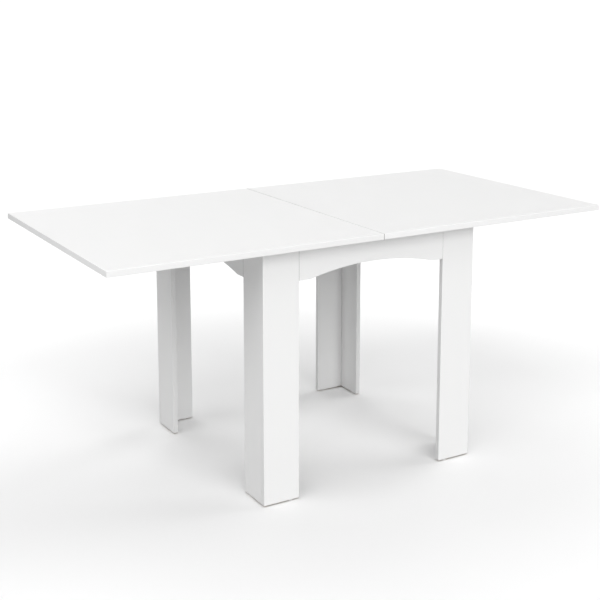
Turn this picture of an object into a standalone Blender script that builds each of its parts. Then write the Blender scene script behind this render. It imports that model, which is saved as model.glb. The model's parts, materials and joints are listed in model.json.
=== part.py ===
# Extendable dining table with a top that turns and unfolds, modelled open. Metres, +Z up.
# The origin is on the floor under the middle of the open top. +X runs along the top, -Y is the front.
import math

import bmesh
import bpy
from mathutils import Matrix, Vector

# Overall
TOP_LENGTH = 1.600
TOP_WIDTH = 0.800
TABLE_HEIGHT = 0.730
FOLDED_OVERHANG = 0.050  # from the base to the edge of the folded top, all round

# Boards
LEAF_THICKNESS = 0.016
BOARD_THICKNESS = 0.015
LEG_WIDTH = 0.110
APRON_HEIGHT = 0.0925
ARCH_RISE = 0.0255
ARCH_FLAT = 0.036  # straight stretch at each end of an apron, to the arch's sharp corner
ARCH_FILLET = 0.035
EDGE_ROUNDING = 0.0006

# Clearances
CONTACT_GAP = 0.0003  # between pieces that touch
SEAM_GAP = 0.0010  # between the two leaves
FOLD_GAP = 0.001  # between the faces of the folded leaves
TOP_GAP = 0.002  # between the base and the top

# Turning fitting
RAIL_HEIGHT = 0.042
RAIL_SPACING = 0.120
STRETCHER_OFFSET = -0.200  # of the third rail, from the middle
PIVOT_BOARD_EDGE = 0.0125  # board left outside the curved slot
PLATE_RADIUS = 0.035
PLATE_THICKNESS = 0.0025
SLIP_WASHER_RADIUS = 0.018
SLIP_WASHER_THICKNESS = 0.003
LOCK_WASHER_RADIUS = 0.012
LOCK_WASHER_THICKNESS = 0.002
BOLT_RADIUS = 0.005
BOLT_HEAD_RADIUS = 0.009
BOLT_HEAD_HEIGHT = 0.003
BOLT_END = 0.004  # thread past the nut
NUT_FLATS = 0.017
NUT_HEIGHT = 0.009
PLATE_SCREW_CIRCLE = 0.026
PLATE_SCREW_RADIUS = 0.002
PLATE_SCREW_LENGTH = 0.0105  # in the leaf
PLATE_SCREW_HEAD_RADIUS = 0.0036
PLATE_SCREW_CROWN = 0.0025  # radius of the flat on the head
PLATE_SCREW_HEAD_HEIGHT = 0.002
PLATE_SCREW_COUNT = 4
STOP_PIN_RADIUS = 0.004
STOP_PIN_CIRCLE = 0.045
STOP_PIN_DEPTH = 0.0095  # in the leaf
STOP_PIN_END = 0.002  # below the pivot board
STOP_PLAY = 0.0005  # between the pin and the slot's wall
SWIVEL_ANGLE = math.radians(90)
STOP_START_ANGLE = math.radians(225)

# Corner plates, glide buttons and foot glides
CORNER_PLATE_LEG = 0.050
CORNER_PLATE_THICKNESS = 0.016
BUTTON_RADIUS = 0.008
BUTTON_STEM_RADIUS = 0.0025
BUTTON_STEM_LENGTH = 0.009
GLIDE_RADIUS = 0.0065
GLIDE_HEIGHT = 0.003
GLIDE_STEM_RADIUS = 0.0025
GLIDE_STEM_LENGTH = 0.010
GLIDE_ROUNDING = 0.00075
GLIDE_INSET = 0.025  # from a leg board's end to its glide

# Barrel hinges
HINGE_COUNT = 3
HINGE_END_INSET = 0.100  # from the front and rear edges to the outer hinges
BARREL_WALL = 0.0023  # leaf left above and below a barrel
BARREL_LENGTH = 0.013
LINK_BREADTH = 0.0026  # across the links' arc
LINK_THICKNESS = 0.0016
LINK_HALF_ANGLE = math.radians(42)
LINK_SLOT_PLAY = 0.0006
LINK_SHARES = (0.25, 0.50, 0.75)  # how far each link turns for one turn of the flip leaf

ROUND_SIDES = 24
FINE_SIDES = 14
ARCH_STEPS = 24
FILLET_STEPS = 4
SLOT_STEPS = 24
LINK_STEPS = 8
SHARP_ANGLE = math.radians(30)  # round pieces shade smooth below it
BEVEL_ANGLE = math.radians(40)  # board edges sharper than it are rounded
WELD_DISTANCE = 0.00001

# Heights
TOP_UNDERSIDE = TABLE_HEIGHT - LEAF_THICKNESS
FRAME_TOP = TOP_UNDERSIDE - TOP_GAP
APRON_BOTTOM = FRAME_TOP - APRON_HEIGHT
LEG_BOTTOM = GLIDE_HEIGHT + CONTACT_GAP
PLATE_TOP = TOP_UNDERSIDE - CONTACT_GAP
PLATE_BOTTOM = PLATE_TOP - PLATE_THICKNESS
SLIP_WASHER_TOP = PLATE_BOTTOM - CONTACT_GAP
PIVOT_BOARD_TOP = SLIP_WASHER_TOP - SLIP_WASHER_THICKNESS - CONTACT_GAP
PIVOT_BOARD_BOTTOM = PIVOT_BOARD_TOP - BOARD_THICKNESS
RAIL_TOP = PIVOT_BOARD_BOTTOM - CONTACT_GAP
LOCK_WASHER_TOP = PIVOT_BOARD_BOTTOM - CONTACT_GAP
NUT_TOP = LOCK_WASHER_TOP - LOCK_WASHER_THICKNESS - CONTACT_GAP
NUT_BOTTOM = NUT_TOP - NUT_HEIGHT
FOLD_LINE_HEIGHT = TABLE_HEIGHT + FOLD_GAP / 2
BARREL_HEIGHT = TABLE_HEIGHT - LEAF_THICKNESS / 2

# Plan: the main leaf turns a quarter about the pivot, which brings its middle over the base's
LEAF_LENGTH = (TOP_LENGTH - SEAM_GAP) / 2
PIVOT_X = TOP_LENGTH / 8
PIVOT_Y = -TOP_LENGTH / 8
BASE_SIDE = min(TOP_WIDTH, TOP_LENGTH / 2) - 2 * FOLDED_OVERHANG
BASE_HALF = BASE_SIDE / 2
INNER_HALF = BASE_HALF - BOARD_THICKNESS
APRON_LENGTH = BASE_SIDE - 2 * LEG_WIDTH - 2 * CONTACT_GAP
SIDE_BOARD_DEPTH = LEG_WIDTH - BOARD_THICKNESS - CONTACT_GAP
SLOT_HALF_WIDTH = STOP_PIN_RADIUS + STOP_PLAY
BOLT_HOLE_RADIUS = BOLT_RADIUS + CONTACT_GAP
BARREL_RADIUS = LEAF_THICKNESS / 2 - BARREL_WALL
LINK_RADIUS = FOLD_LINE_HEIGHT - BARREL_HEIGHT  # the links turn about the fold line

LEFT_RIGHT = (("left", -1), ("right", 1))
FRONT_REAR = (("front", -1), ("rear", 1))


def make_material(name, color, roughness, metallic=0.0):
    material = bpy.data.materials.new(name)
    material.use_nodes = True
    shader = material.node_tree.nodes["Principled BSDF"]
    shader.inputs["Base Color"].default_value = (*color, 1.0)
    shader.inputs["Roughness"].default_value = roughness
    shader.inputs["Metallic"].default_value = metallic
    material.diffuse_color = (*color, 1.0)
    return material


def add_object(name, mesh, material, parent, location=(0.0, 0.0, 0.0), turn=0.0):
    # The location is the object's place in the world, whatever its parent's.
    obj = bpy.data.objects.new(name, mesh)
    bpy.context.scene.collection.objects.link(obj)
    if material:
        mesh.materials.append(material)
    obj.parent = parent
    obj.location = Vector(location) - parent.location if parent else Vector(location)
    obj.rotation_euler = (0.0, 0.0, turn)
    return obj


def add_axis(name, location, parent=None):
    axis = add_object(name, None, None, parent, location)
    axis.empty_display_size = 0.05
    return axis


def box_mesh(name, size, low=(0.0, 0.0, 0.0)):
    # A box from the point low to low + size.
    shape = bmesh.new()
    bmesh.ops.create_cube(shape, size=1.0)
    bmesh.ops.translate(shape, verts=shape.verts, vec=(0.5, 0.5, 0.5))
    bmesh.ops.scale(shape, verts=shape.verts, vec=size)
    bmesh.ops.translate(shape, verts=shape.verts, vec=low)
    return finish_mesh(name, shape)


def outline_mesh(name, outline, height):
    # A flat outline, anticlockwise from above, raised from z = 0 to height.
    shape = bmesh.new()
    face = shape.faces.new([shape.verts.new((x, y, 0.0)) for x, y in outline])
    raised = bmesh.ops.extrude_face_region(shape, geom=[face])["geom"]
    top = [item for item in raised if isinstance(item, bmesh.types.BMVert)]
    bmesh.ops.translate(shape, verts=top, vec=(0.0, 0.0, height))
    bmesh.ops.recalc_face_normals(shape, faces=shape.faces)
    return finish_mesh(name, shape)


def turned_mesh(name, profile, sides=ROUND_SIDES):
    # A solid turned about Z, from (radius, height) points that start and end on the axis.
    shape = bmesh.new()
    points = [shape.verts.new((radius, 0.0, height)) for radius, height in profile]
    edges = [shape.edges.new(pair) for pair in zip(points, points[1:])]
    bmesh.ops.spin(
        shape,
        geom=points + edges,
        axis=(0.0, 0.0, 1.0),
        cent=(0.0, 0.0, 0.0),
        angle=math.tau,
        steps=sides,
        use_duplicate=False,
    )
    bmesh.ops.remove_doubles(shape, verts=shape.verts, dist=WELD_DISTANCE)
    bmesh.ops.recalc_face_normals(shape, faces=shape.faces)
    return finish_mesh(name, shape, smooth=True)


def ring_mesh(name, outer, inner, height, sides=ROUND_SIDES):
    # A washer standing on z = 0.
    shape = bmesh.new()
    profile = ((outer, 0.0), (outer, height), (inner, height), (inner, 0.0))
    rings = []
    for step in range(sides):
        angle = math.tau * step / sides
        rings.append([
            shape.verts.new((radius * math.cos(angle), radius * math.sin(angle), z))
            for radius, z in profile
        ])
    for here, there in zip(rings, rings[1:] + rings[:1]):
        for index in range(len(profile)):
            after = (index + 1) % len(profile)
            shape.faces.new((here[index], there[index], there[after], here[after]))
    bmesh.ops.recalc_face_normals(shape, faces=shape.faces)
    return finish_mesh(name, shape, smooth=True)


def finish_mesh(name, shape, smooth=False):
    mesh = bpy.data.meshes.new(name)
    shape.to_mesh(mesh)
    shape.free()
    if smooth:
        mesh.shade_smooth()
        mesh.set_sharp_from_angle(angle=SHARP_ANGLE)
    return mesh


def add_bevel(obj, width=EDGE_ROUNDING):
    bevel = obj.modifiers.new("edges", "BEVEL")
    bevel.width = width
    bevel.segments = 2
    bevel.limit_method = "ANGLE"
    bevel.angle_limit = BEVEL_ANGLE


def add_cutter(obj, mesh, location, turn=(0.0, 0.0, 0.0)):
    cutter = add_object("cut_" + mesh.name, mesh, None, None, location)
    cutter.rotation_euler = turn
    cutter.hide_render = True
    cutter.display_type = "WIRE"
    boolean = obj.modifiers.new("cut", "BOOLEAN")
    boolean.operation = "DIFFERENCE"
    boolean.solver = "EXACT"
    boolean.object = cutter


def cut_bore(obj, radius, bottom, top, x=0.0, y=0.0, sides=FINE_SIDES):
    # An upright round hole at x, y.
    profile = ((0.0, 0.0), (radius, 0.0), (radius, top - bottom), (0.0, top - bottom))
    add_cutter(obj, turned_mesh("bore", profile, sides), (x, y, bottom))


def arc_points(center, radius, start, end, steps):
    return [
        (
            center[0] + radius * math.cos(start + (end - start) * step / steps),
            center[1] + radius * math.sin(start + (end - start) * step / steps),
        )
        for step in range(steps + 1)
    ]


def band_outline(radius, half_width, start, end, steps):
    # A strip of even width along an arc, with round ends.
    def on_arc(angle):
        return (radius * math.cos(angle), radius * math.sin(angle))

    outer = arc_points((0.0, 0.0), radius + half_width, start, end, steps)
    far_end = arc_points(on_arc(end), half_width, end, end + math.pi, FINE_SIDES // 2)
    inner = arc_points((0.0, 0.0), radius - half_width, end, start, steps)
    near_end = arc_points(on_arc(start), half_width, start + math.pi, start + math.tau, FINE_SIDES // 2)
    return outer + far_end[1:-1] + inner + near_end[1:-1]


def apron_outline():
    # Seen from outside: x along the apron, y its height. The lower edge rises in one long arc.
    half = APRON_LENGTH / 2
    half_chord = half - ARCH_FLAT
    radius = (half_chord**2 + ARCH_RISE**2) / (2 * ARCH_RISE)
    arc_center = ARCH_RISE - radius
    fillet_x = math.sqrt((radius + ARCH_FILLET) ** 2 - (ARCH_FILLET - arc_center) ** 2)
    slope = math.atan2(arc_center - ARCH_FILLET, fillet_x)
    upright = -math.pi / 2
    left_fillet = arc_points((-fillet_x, ARCH_FILLET), ARCH_FILLET, upright, slope, FILLET_STEPS)
    arch = arc_points((0.0, arc_center), radius, slope + math.pi, -slope, ARCH_STEPS)
    right_fillet = arc_points((fillet_x, ARCH_FILLET), ARCH_FILLET, -math.pi - slope, upright, FILLET_STEPS)
    lower = left_fillet + arch[1:-1] + right_fillet
    return [(-half, 0.0)] + lower + [(half, 0.0), (half, APRON_HEIGHT), (-half, APRON_HEIGHT)]


def build_leaf(name, side, parent, material):
    # side is 1 for the leaf at +X and -1 for the leaf at -X.
    near = side * SEAM_GAP / 2
    low_x = near if side > 0 else near - LEAF_LENGTH
    low = (low_x, -TOP_WIDTH / 2, TOP_UNDERSIDE)
    origin = parent.location
    mesh = box_mesh(name, (LEAF_LENGTH, TOP_WIDTH, LEAF_THICKNESS), Vector(low) - origin)
    leaf = add_object(name, mesh, material, parent, origin)
    add_bevel(leaf)
    bore_length = BARREL_LENGTH + 2 * CONTACT_GAP
    bore = ((0.0, -bore_length), (BARREL_RADIUS + CONTACT_GAP, -bore_length),
            (BARREL_RADIUS + CONTACT_GAP, bore_length), (0.0, bore_length))
    for y in hinge_places():
        add_cutter(leaf, turned_mesh("hinge_bore", bore), (near, y, BARREL_HEIGHT), (0.0, math.pi / 2, 0.0))
    return leaf


def hinge_places():
    span = TOP_WIDTH - 2 * HINGE_END_INSET
    return [span * (index / (HINGE_COUNT - 1) - 0.5) for index in range(HINGE_COUNT)]


def build_barrel(name, side, y, parent, material):
    # A turned plug lying along X in the leaf's edge, with a slot in which the links slide.
    profile = ((0.0, 0.0), (BARREL_RADIUS, 0.0), (BARREL_RADIUS, BARREL_LENGTH), (0.0, BARREL_LENGTH))
    mesh = turned_mesh(name, profile)
    mesh.transform(Matrix.Rotation(side * math.pi / 2, 4, "Y"))
    start = side * (SEAM_GAP / 2 + CONTACT_GAP)
    barrel = add_object(name, mesh, material, parent, (start, y, BARREL_HEIGHT))
    slot_breadth = link_offset(len(LINK_SHARES) - 1) * 2 + LINK_THICKNESS + 2 * LINK_SLOT_PLAY
    around_link = LINK_BREADTH / 2 + LINK_SLOT_PLAY
    slot_depth = LINK_RADIUS * math.sin(LINK_HALF_ANGLE) + around_link
    slot_top = LINK_RADIUS * (1 - math.cos(LINK_HALF_ANGLE)) + around_link
    slot_bottom = -around_link
    slot = box_mesh(
        "link_slot",
        (2 * slot_depth, slot_breadth, slot_top - slot_bottom),
        (-slot_depth, -slot_breadth / 2, slot_bottom),
    )
    add_cutter(barrel, slot, (0.0, y, BARREL_HEIGHT))
    return barrel


def link_offset(index):
    pitch = LINK_THICKNESS + CONTACT_GAP
    return pitch * (index - (len(LINK_SHARES) - 1) / 2)


def build_link(name, index, y, parent, material):
    # A curved plate about the fold line, hanging below it when the top is open.
    start = -math.pi / 2 - LINK_HALF_ANGLE
    end = -math.pi / 2 + LINK_HALF_ANGLE
    outline = band_outline(LINK_RADIUS, LINK_BREADTH / 2, start, end, LINK_STEPS)
    mesh = outline_mesh(name, outline, LINK_THICKNESS)
    mesh.transform(Matrix.Rotation(math.pi / 2, 4, "X"))
    place = (0.0, y + link_offset(index) + LINK_THICKNESS / 2, FOLD_LINE_HEIGHT)
    return add_object(name, mesh, material, parent, place)


def build_leg_boards(end_name, end, side_name, side, parent, material):
    # The face board covers the side board's front edge, so no joint shows from the front.
    leg = f"leg_{end_name}_{side_name}"
    height = FRAME_TOP - LEG_BOTTOM
    face_low_x = BASE_HALF - LEG_WIDTH if side > 0 else -BASE_HALF
    face_low_y = INNER_HALF if end > 0 else -BASE_HALF
    face_size = (LEG_WIDTH, BOARD_THICKNESS, height)
    face_mesh = box_mesh(leg + "_face", face_size, (face_low_x, face_low_y, LEG_BOTTOM))
    face = add_object(leg + "_face", face_mesh, material, parent)
    side_low_x = INNER_HALF if side > 0 else -BASE_HALF
    side_low_y = INNER_HALF - CONTACT_GAP - SIDE_BOARD_DEPTH if end > 0 else -INNER_HALF + CONTACT_GAP
    side_size = (BOARD_THICKNESS, SIDE_BOARD_DEPTH, height)
    side_mesh = box_mesh(leg + "_side", side_size, (side_low_x, side_low_y, LEG_BOTTOM))
    side_board = add_object(leg + "_side", side_mesh, material, parent)
    middle = BASE_HALF - BOARD_THICKNESS / 2
    glide_from_center = BASE_HALF - LEG_WIDTH + GLIDE_INSET
    add_bevel(face)
    add_bevel(side_board)
    places = (
        (face, "face", side * glide_from_center, end * middle),
        (side_board, "side", side * middle, end * glide_from_center),
    )
    return [(board, f"glide_{end_name}_{side_name}_{kind}", x, y) for board, kind, x, y in places]


def build_foot_glide(board, name, x, y, parent, material):
    bore_top = LEG_BOTTOM + GLIDE_STEM_LENGTH
    cut_bore(board, GLIDE_STEM_RADIUS + CONTACT_GAP, 0.0, bore_top, x, y)
    profile = (
        (0.0, 0.0),
        (GLIDE_RADIUS - GLIDE_ROUNDING, 0.0),
        (GLIDE_RADIUS, GLIDE_ROUNDING),
        (GLIDE_RADIUS, GLIDE_HEIGHT),
        (GLIDE_STEM_RADIUS, GLIDE_HEIGHT),
        (GLIDE_STEM_RADIUS, bore_top - CONTACT_GAP),
        (0.0, bore_top - CONTACT_GAP),
    )
    return add_object(name, turned_mesh(name, profile, FINE_SIDES), material, parent, (x, y, 0.0))


def build_apron(name, turn, parent, material):
    # turn faces the apron outwards: 0 is the front.
    mesh = outline_mesh(name, apron_outline(), BOARD_THICKNESS)
    mesh.transform(Matrix.Rotation(math.pi / 2, 4, "X"))
    outer = Matrix.Rotation(turn, 4, "Z") @ Vector((0.0, -INNER_HALF, APRON_BOTTOM))
    apron = add_object(name, mesh, material, parent, outer, turn)
    add_bevel(apron)
    return apron


def build_corner_plate(name, end, side, parent, material):
    # A triangular board in the corner, level with the top of the base. It carries a glide button.
    corner = INNER_HALF - CONTACT_GAP
    outline = [(0.0, 0.0), (-side * CORNER_PLATE_LEG, 0.0), (0.0, -end * CORNER_PLATE_LEG)]
    mesh = outline_mesh(name, outline, CORNER_PLATE_THICKNESS)
    place = (side * corner, end * corner, FRAME_TOP - CORNER_PLATE_THICKNESS)
    plate = add_object(name, mesh, material, parent, place)
    add_bevel(plate)
    button_inset = CORNER_PLATE_LEG / 3
    return plate, side * (corner - button_inset), end * (corner - button_inset)


def build_glide_button(plate, name, x, y, parent, material):
    cut_bore(plate, BUTTON_STEM_RADIUS + CONTACT_GAP, FRAME_TOP - BUTTON_STEM_LENGTH,
             FRAME_TOP + TOP_GAP, x, y)
    head_bottom = FRAME_TOP + CONTACT_GAP
    head_top = TOP_UNDERSIDE - CONTACT_GAP
    stem_bottom = FRAME_TOP - BUTTON_STEM_LENGTH + CONTACT_GAP
    rounding = (head_top - head_bottom) / 3
    profile = (
        (0.0, stem_bottom),
        (BUTTON_STEM_RADIUS, stem_bottom),
        (BUTTON_STEM_RADIUS, head_bottom),
        (BUTTON_RADIUS, head_bottom),
        (BUTTON_RADIUS, head_top - rounding),
        (BUTTON_RADIUS - rounding, head_top),
        (0.0, head_top),
    )
    return add_object(name, turned_mesh(name, profile, FINE_SIDES), material, parent, (x, y, 0.0))


def build_cross_rail(name, x, parent, material):
    length = 2 * (INNER_HALF - CONTACT_GAP)
    size = (BOARD_THICKNESS, length, RAIL_HEIGHT)
    low = (x - BOARD_THICKNESS / 2, -length / 2, RAIL_TOP - RAIL_HEIGHT)
    rail = add_object(name, box_mesh(name, size, low), material, parent)
    add_bevel(rail)
    return rail


def build_pivot_board(parent, material):
    # The slot lets the stop pin run a quarter circle, and its ends stop the top.
    half_x = (RAIL_SPACING + BOARD_THICKNESS) / 2
    half_y = STOP_PIN_CIRCLE + SLOT_HALF_WIDTH + PIVOT_BOARD_EDGE
    size = (2 * half_x, 2 * half_y, BOARD_THICKNESS)
    low = (PIVOT_X - half_x, PIVOT_Y - half_y, PIVOT_BOARD_BOTTOM)
    board = add_object("pivot_board", box_mesh("pivot_board", size, low), material, parent)
    add_bevel(board)
    below = PIVOT_BOARD_BOTTOM - BOARD_THICKNESS
    cut_bore(board, BOLT_HOLE_RADIUS, below, TOP_UNDERSIDE, PIVOT_X, PIVOT_Y)
    stop_end_angle = STOP_START_ANGLE + SWIVEL_ANGLE
    outline = band_outline(STOP_PIN_CIRCLE, SLOT_HALF_WIDTH, STOP_START_ANGLE, stop_end_angle, SLOT_STEPS)
    slot = outline_mesh("stop_slot", outline, 3 * BOARD_THICKNESS)
    add_cutter(board, slot, (PIVOT_X, PIVOT_Y, below))
    return board


def build_swivel(leaf, axis, base, steel, nylon):
    # The plate and bolt turn with the main leaf. The slip washer lies on the pivot board.
    plate_mesh = ring_mesh("swivel_plate", PLATE_RADIUS, BOLT_HOLE_RADIUS, PLATE_THICKNESS)
    plate = add_object("swivel_plate", plate_mesh, steel, axis, (PIVOT_X, PIVOT_Y, PLATE_BOTTOM))
    head_top = TOP_UNDERSIDE + BOLT_HEAD_HEIGHT
    bolt_bottom = NUT_BOTTOM - BOLT_END
    bolt = (
        (0.0, bolt_bottom),
        (BOLT_RADIUS, bolt_bottom),
        (BOLT_RADIUS, TOP_UNDERSIDE),
        (BOLT_HEAD_RADIUS, TOP_UNDERSIDE),
        (BOLT_HEAD_RADIUS, head_top),
        (0.0, head_top),
    )
    add_object("swivel_bolt", turned_mesh("swivel_bolt", bolt), steel, axis, (PIVOT_X, PIVOT_Y, 0.0))
    cut_bore(leaf, BOLT_HEAD_RADIUS + CONTACT_GAP, PLATE_BOTTOM, head_top + CONTACT_GAP,
             PIVOT_X, PIVOT_Y, ROUND_SIDES)
    slip_mesh = ring_mesh("slip_washer", SLIP_WASHER_RADIUS, BOLT_HOLE_RADIUS, SLIP_WASHER_THICKNESS)
    slip_bottom = SLIP_WASHER_TOP - SLIP_WASHER_THICKNESS
    add_object("slip_washer", slip_mesh, nylon, base, (PIVOT_X, PIVOT_Y, slip_bottom))
    lock_mesh = ring_mesh("lock_washer", LOCK_WASHER_RADIUS, BOLT_HOLE_RADIUS, LOCK_WASHER_THICKNESS)
    lock_bottom = LOCK_WASHER_TOP - LOCK_WASHER_THICKNESS
    add_object("lock_washer", lock_mesh, steel, base, (PIVOT_X, PIVOT_Y, lock_bottom))
    corners = arc_points((0.0, 0.0), NUT_FLATS / math.sqrt(3), 0.0, math.tau, 6)[:-1]
    nut_mesh = outline_mesh("swivel_nut", corners, NUT_HEIGHT)
    nut = add_object("swivel_nut", nut_mesh, steel, axis, (PIVOT_X, PIVOT_Y, NUT_BOTTOM))
    cut_bore(nut, BOLT_HOLE_RADIUS, bolt_bottom, PIVOT_BOARD_BOTTOM, PIVOT_X, PIVOT_Y, ROUND_SIDES)
    for index in range(PLATE_SCREW_COUNT):
        angle = math.tau * (index + 0.5) / PLATE_SCREW_COUNT
        build_plate_screw(f"plate_screw_{index + 1}", angle, plate, leaf, axis, steel)


def build_plate_screw(name, angle, plate, leaf, axis, material):
    x = PIVOT_X + PLATE_SCREW_CIRCLE * math.cos(angle)
    y = PIVOT_Y + PLATE_SCREW_CIRCLE * math.sin(angle)
    hole = PLATE_SCREW_RADIUS + CONTACT_GAP
    tip = TOP_UNDERSIDE + PLATE_SCREW_LENGTH
    cut_bore(plate, hole, PLATE_BOTTOM - PLATE_THICKNESS, PLATE_TOP + PLATE_THICKNESS, x, y)
    cut_bore(leaf, hole, PLATE_BOTTOM, tip + CONTACT_GAP, x, y)
    head_top = PLATE_BOTTOM - CONTACT_GAP
    head_bottom = head_top - PLATE_SCREW_HEAD_HEIGHT
    profile = (
        (0.0, head_bottom),
        (PLATE_SCREW_CROWN, head_bottom),
        (PLATE_SCREW_HEAD_RADIUS, head_bottom + PLATE_SCREW_HEAD_HEIGHT / 2),
        (PLATE_SCREW_HEAD_RADIUS, head_top),
        (PLATE_SCREW_RADIUS, head_top),
        (PLATE_SCREW_RADIUS, tip - PLATE_SCREW_RADIUS),
        (0.0, tip),
    )
    return add_object(name, turned_mesh(name, profile, FINE_SIDES), material, axis, (x, y, 0.0))


def build_stop_pin(leaf, axis, material):
    x = PIVOT_X + STOP_PIN_CIRCLE * math.cos(STOP_START_ANGLE)
    y = PIVOT_Y + STOP_PIN_CIRCLE * math.sin(STOP_START_ANGLE)
    top = TOP_UNDERSIDE + STOP_PIN_DEPTH
    bottom = PIVOT_BOARD_BOTTOM - STOP_PIN_END
    cut_bore(leaf, STOP_PIN_RADIUS + CONTACT_GAP, PLATE_BOTTOM, top + CONTACT_GAP, x, y)
    profile = (
        (0.0, bottom),
        (STOP_PIN_RADIUS, bottom),
        (STOP_PIN_RADIUS, top),
        (0.0, top),
    )
    return add_object("stop_pin", turned_mesh("stop_pin", profile, FINE_SIDES), material, axis, (x, y, 0.0))


def clear_scene():
    for obj in list(bpy.data.objects):
        bpy.data.objects.remove(obj, do_unlink=True)


def build_base(base, laminate, plywood, nylon):
    glides = []
    for end_name, end in FRONT_REAR:
        for side_name, side in LEFT_RIGHT:
            glides += build_leg_boards(end_name, end, side_name, side, base, laminate)
            corner = f"{end_name}_{side_name}"
            plate, x, y = build_corner_plate("corner_plate_" + corner, end, side, base, plywood)
            build_glide_button(plate, "glide_button_" + corner, x, y, base, nylon)
    for board, name, x, y in glides:
        build_foot_glide(board, name, x, y, base, nylon)
    for index, name in enumerate(("front", "right", "rear", "left")):
        build_apron("apron_" + name, index * math.pi / 2, base, laminate)
    build_cross_rail("pivot_rail_left", PIVOT_X - RAIL_SPACING / 2, base, laminate)
    build_cross_rail("pivot_rail_right", PIVOT_X + RAIL_SPACING / 2, base, laminate)
    build_cross_rail("stretcher_rail", STRETCHER_OFFSET, base, laminate)
    build_pivot_board(base, plywood)


def build_hinges(swivel, fold, link_axes, zinc, steel):
    names = [f"hinge_{index + 1}" for index in range(HINGE_COUNT)]
    for name, y in zip(names, hinge_places()):
        build_barrel(name + "_barrel_main", 1, y, swivel, zinc)
        build_barrel(name + "_barrel_flip", -1, y, fold, zinc)
        for index, axis in enumerate(link_axes):
            build_link(f"{name}_link_{index + 1}", index, y, axis, steel)


def main():
    clear_scene()
    laminate = make_material("white_laminate", (0.87, 0.87, 0.865), 0.38)
    plywood = make_material("birch_plywood", (0.62, 0.45, 0.27), 0.6)
    steel = make_material("zinc_plated_steel", (0.62, 0.62, 0.60), 0.35, 1.0)
    zinc = make_material("die_cast_zinc", (0.50, 0.50, 0.49), 0.45, 1.0)
    nylon = make_material("white_nylon", (0.80, 0.80, 0.78), 0.45)

    base = add_axis("base", (0.0, 0.0, 0.0))
    swivel = add_axis("top_swivel", (PIVOT_X, PIVOT_Y, TOP_UNDERSIDE), base)
    fold_line = (0.0, 0.0, FOLD_LINE_HEIGHT)
    fold = add_axis("leaf_fold", fold_line)
    link_axes = [add_axis(f"link_turn_{index + 1}", fold_line) for index in range(len(LINK_SHARES))]

    build_base(base, laminate, plywood, nylon)
    main_leaf = build_leaf("main_leaf", 1, swivel, laminate)
    build_leaf("flip_leaf", -1, fold, laminate)
    build_swivel(main_leaf, swivel, base, steel, nylon)
    build_stop_pin(main_leaf, swivel, steel)
    build_hinges(swivel, fold, link_axes, zinc, steel)


main()
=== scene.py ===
import json
import math

import bmesh
import bpy
from mathutils import Matrix, Vector


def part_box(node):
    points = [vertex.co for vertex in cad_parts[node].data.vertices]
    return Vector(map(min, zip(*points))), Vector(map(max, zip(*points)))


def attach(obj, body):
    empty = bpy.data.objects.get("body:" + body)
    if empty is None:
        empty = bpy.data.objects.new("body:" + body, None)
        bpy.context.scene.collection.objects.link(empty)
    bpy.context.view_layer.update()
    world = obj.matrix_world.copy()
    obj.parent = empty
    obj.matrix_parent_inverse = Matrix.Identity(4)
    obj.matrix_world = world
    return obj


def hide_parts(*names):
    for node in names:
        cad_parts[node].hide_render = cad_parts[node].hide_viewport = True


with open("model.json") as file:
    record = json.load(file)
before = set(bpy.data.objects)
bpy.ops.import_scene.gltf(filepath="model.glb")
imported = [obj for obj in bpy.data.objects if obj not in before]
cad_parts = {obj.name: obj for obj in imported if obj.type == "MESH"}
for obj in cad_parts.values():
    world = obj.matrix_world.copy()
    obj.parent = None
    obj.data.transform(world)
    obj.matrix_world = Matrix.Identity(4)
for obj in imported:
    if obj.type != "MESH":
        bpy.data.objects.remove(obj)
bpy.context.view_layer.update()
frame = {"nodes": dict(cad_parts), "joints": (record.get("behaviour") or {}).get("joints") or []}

scene = bpy.context.scene

view = {
    "place": (-1.7471, -2.9053, 1.4134),
    "turn": 30.579,  # degrees from +Y towards +X
    "tilt": -9.954,
    "lens": 68.8,
    "rise": -0.2,
}


def addCamera():
    camera = bpy.data.objects.new("camera", bpy.data.cameras.new("camera"))
    scene.collection.objects.link(camera)
    camera.location = view["place"]
    camera.rotation_euler = (math.radians(90 + view["tilt"]), 0, -math.radians(view["turn"]))
    camera.data.lens = view["lens"]
    camera.data.sensor_width = 36
    camera.data.shift_y = view["rise"]
    scene.camera = camera


addCamera()
print("camera placed")


# Shader groups

def newGroup(name, inputs, outputs):
    group = bpy.data.node_groups.new(name, "ShaderNodeTree")
    for label, kind, value in inputs:
        socket = group.interface.new_socket(name=label, in_out="INPUT", socket_type=kind)
        if value is not None:
            socket.default_value = value
    for label, kind in outputs:
        group.interface.new_socket(name=label, in_out="OUTPUT", socket_type=kind)
    return group, group.nodes.new("NodeGroupInput"), group.nodes.new("NodeGroupOutput")


def addNode(tree, kind, links=None, **settings):
    # links maps an input's name or index to a socket or a plain value
    node = tree.nodes.new(kind)
    for key, value in settings.items():
        setattr(node, key, value)
    for key, value in (links or {}).items():
        if isinstance(value, bpy.types.NodeSocket):
            tree.links.new(value, node.inputs[key])
        else:
            node.inputs[key].default_value = value
    return node


def mathNode(tree, operation, first, second=0.0, third=0.0, clamp=False):
    links = {0: first, 1: second}
    if operation == "MULTIPLY_ADD":
        links[2] = third
    return addNode(tree, "ShaderNodeMath", links, operation=operation, use_clamp=clamp).outputs[0]


def mixColors(tree, factor, first, second, blend="MIX"):
    node = addNode(tree, "ShaderNodeMix", data_type="RGBA", blend_type=blend)
    for index, value in ((0, factor), (6, first), (7, second)):
        if isinstance(value, bpy.types.NodeSocket):
            tree.links.new(value, node.inputs[index])
        else:
            node.inputs[index].default_value = value
    return node.outputs[2]


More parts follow.
